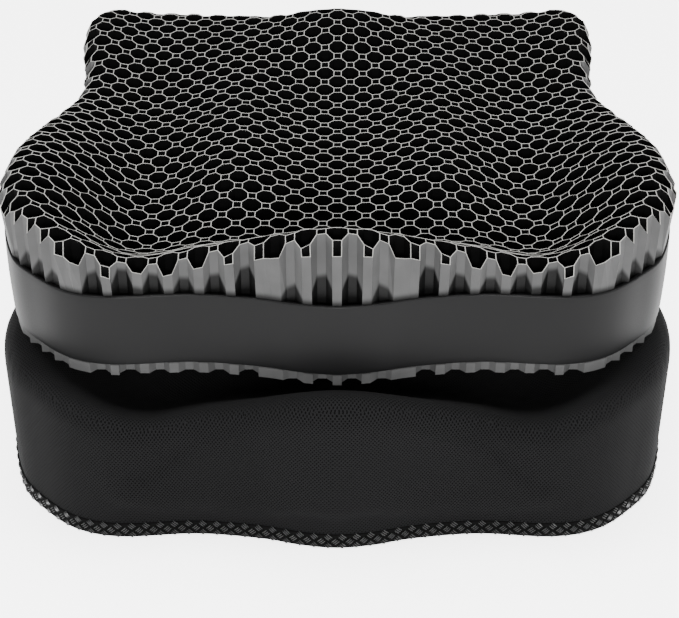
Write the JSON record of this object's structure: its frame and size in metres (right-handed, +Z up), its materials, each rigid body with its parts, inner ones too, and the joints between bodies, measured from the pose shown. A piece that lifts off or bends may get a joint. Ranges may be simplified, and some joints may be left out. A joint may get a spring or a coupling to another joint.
{
  "type": "seat cushion",
  "caption": "Contoured gel honeycomb seat cushion with a moulded edge band, set down on its zipped mesh cover, which it slides into.",
  "frame": {"origin": "on the floor under the middle of the cover", "axes": "+Z up, +X to the sitter's left as seen from the front, -Y towards the knees"},
  "size_m": [0.474, 0.4452, 0.2259],
  "materials": {
    "gel": "satin moulded gel",
    "band": "smooth satin",
    "mesh": "open air mesh",
    "binding": "basket-woven webbing",
    "underside": "plain weave with grip dots",
    "zip_tape": "woven tape",
    "zip_coil": "nylon coil",
    "zip_metal": "dark plated"
  },
  "bodies": {
    "cover": {"mesh_hood": "mesh", "edge_binding": "binding", "bottom_panel": "underside", "zip_tape_upper": "zip_tape", "zip_tape_lower": "zip_tape", "zip_coil_upper": "zip_coil", "zip_coil_lower": "zip_coil", "zip_stop_left": "zip_metal", "zip_stop_right": "zip_metal"},
    "core": {"honeycomb_core": "gel", "edge_band": "band"},
    "slider": {"zip_slider": "zip_metal"},
    "puller": {"zip_puller": "zip_metal"}
  },
  "joints": [
    {"name": "core_in", "type": "slide", "parent": "cover", "child": "core", "axis": [0, -0.2617, -0.9651], "range_m": [0, 0.11462], "deforming": ["mesh_hood"]},
    {"name": "zip_slide", "type": "slide", "parent": "cover", "child": "slider", "axis": [-1, 0, 0], "range_m": [0, 0.2346]},
    {"name": "puller_swing", "type": "hinge", "parent": "slider", "child": "puller", "pos_m": [0.1173, 0.2144, 0.00605], "axis": [0, 0, -1], "range_deg": [0, 175]}
  ]
}
